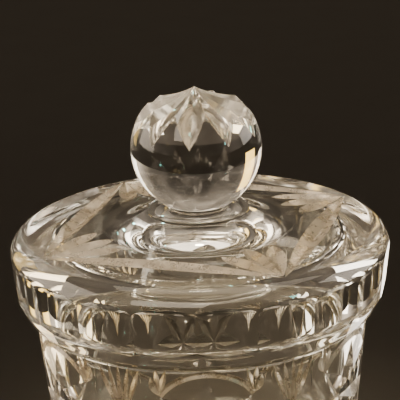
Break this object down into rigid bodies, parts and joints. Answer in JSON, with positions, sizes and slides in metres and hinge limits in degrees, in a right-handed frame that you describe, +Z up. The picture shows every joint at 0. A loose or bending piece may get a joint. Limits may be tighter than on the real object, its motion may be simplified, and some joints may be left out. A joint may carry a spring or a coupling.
{
  "type": "powder jar",
  "caption": "Round covered powder jar in clear cut crystal: a tapered jar, a thick domed lift-off lid with a panelled rim, and a ball knob cut with petals.",
  "frame": {"origin": "centre of the jar's base, on the surface that it stands on", "axes": "+Z up along the jar's axis; the front of the jar faces -Y"},
  "size_m": [0.1124, 0.1124, 0.1302],
  "materials": {
    "crystal_jar": "polished lead crystal with matte wheel cuts",
    "crystal_lid": "polished lead crystal with matte wheel cuts",
    "crystal_knob": "polished lead crystal with matte petal cuts"
  },
  "bodies": {
    "jar": {"jar": "crystal_jar"},
    "lid": {"lid": "crystal_lid", "knob": "crystal_knob"}
  },
  "joints": [
    {"name": "lid_lift", "type": "slide", "parent": "jar", "child": "lid", "axis": [0, 0, 1], "range_m": [0, 0.06]}
  ]
}
